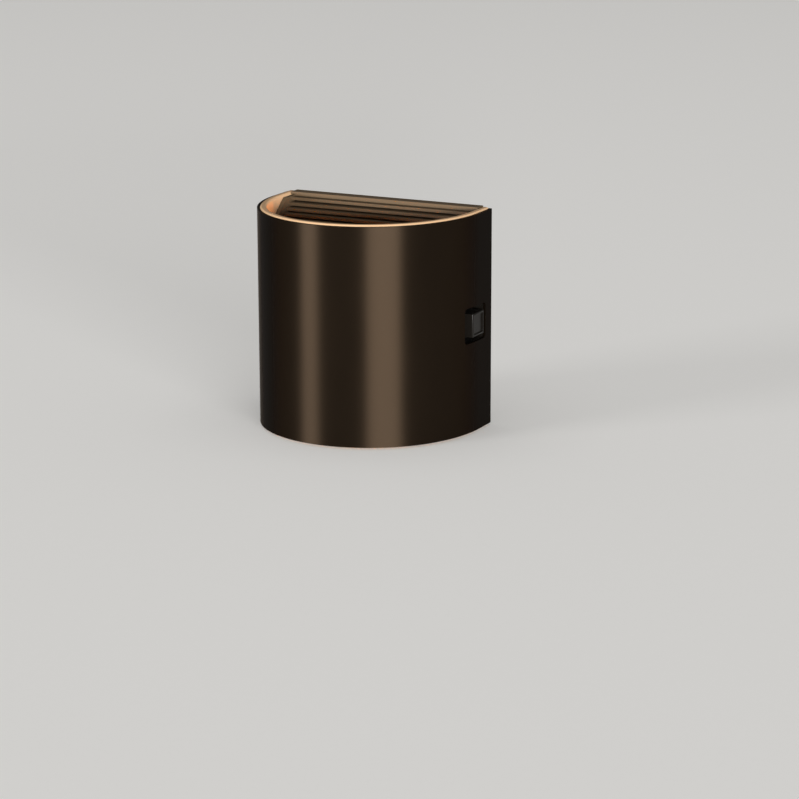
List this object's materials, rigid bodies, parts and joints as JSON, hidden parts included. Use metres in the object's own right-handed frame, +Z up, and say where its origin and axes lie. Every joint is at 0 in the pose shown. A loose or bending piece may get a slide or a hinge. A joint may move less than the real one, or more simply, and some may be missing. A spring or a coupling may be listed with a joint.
{
  "type": "plug-in night light",
  "caption": "Half-round plug-in wall light, open above and below, with stepped louvres over the driver room, a slide switch on its side and flat plug blades at the back.",
  "frame": {"origin": "midway between the plug blades, on the rear face that rests on the outlet", "axes": "+Z up the wall, +Y into the wall along the blades, +X to the right seen from the room"},
  "size_m": [0.0487, 0.0487, 0.0465],
  "materials": {
    "bronze_sleeve": "dark bronze coat, satin to semi-gloss",
    "cream_plastic": "moulded, fine satin",
    "louvre_plastic": "moulded, satin",
    "plate_plastic": "moulded, light texture",
    "clamp_plastic": "moulded insulator",
    "blade_brass": "nickel-plated brass, stamped",
    "screw_steel": "zinc-plated",
    "board_laminate": "green solder mask on glass laminate",
    "film_case": "dipped red epoxy",
    "can_sleeve": "dark shrink sleeve over an aluminium can",
    "fuse_body": "enamelled ceramic",
    "chip_black": "moulded epoxy with tinned legs",
    "resistor_body": "glazed ceramic",
    "header_black": "moulded",
    "tinned_pin": "tin-plated",
    "carrier_white": "moulded white",
    "lamp_board_white": "aluminium-core board, white mask",
    "led_package": "white package, warm phosphor",
    "lens_clear": "clear polycarbonate, finely frosted",
    "switch_steel": "nickel-plated sheet",
    "switch_phenolic": "brown laminate",
    "contact_bronze": "phosphor bronze",
    "knob_black": "dark gloss moulding",
    "shield_black": "dark moulding"
  },
  "bodies": {
    "housing": {"outer_sleeve": "bronze_sleeve", "inner_liner": "cream_plastic", "switch_bezel": "shield_black", "driver_housing": "plate_plastic", "upper_louvre": "louvre_plastic", "lower_louvre": "louvre_plastic", "back_plate": "plate_plastic", "plate_screws": "screw_steel", "neutral_blade": "blade_brass", "live_blade": "blade_brass", "blade_clamp": "clamp_plastic", "clamp_screw": "screw_steel", "driver_board": "board_laminate", "board_screws": "screw_steel", "film_capacitor": "film_case", "electrolytic_capacitor": "can_sleeve", "fuse_resistor": "fuse_body", "bridge_rectifier": "chip_black", "driver_chip": "chip_black", "chip_resistors": "resistor_body", "lamp_header": "header_black", "lamp_pins": "tinned_pin", "lamp_carrier": "carrier_white", "upper_lamp_board": "lamp_board_white", "lower_lamp_board": "lamp_board_white", "upper_leds": "led_package", "lower_leds": "led_package", "lamp_screws": "screw_steel", "lamp_nuts": "screw_steel", "upper_lens": "lens_clear", "lower_lens": "lens_clear", "switch_frame": "switch_steel", "switch_base": "switch_phenolic", "switch_terminals": "tinned_pin"},
    "switch_slide": {"switch_knob": "knob_black", "switch_shield": "shield_black", "switch_slider": "knob_black", "switch_contact": "contact_bronze"}
  },
  "joints": [
    {"name": "switch_travel", "type": "slide", "parent": "housing", "child": "switch_slide", "axis": [0, 0, 1], "range_m": [-0.0012, 0.0012]}
  ]
}
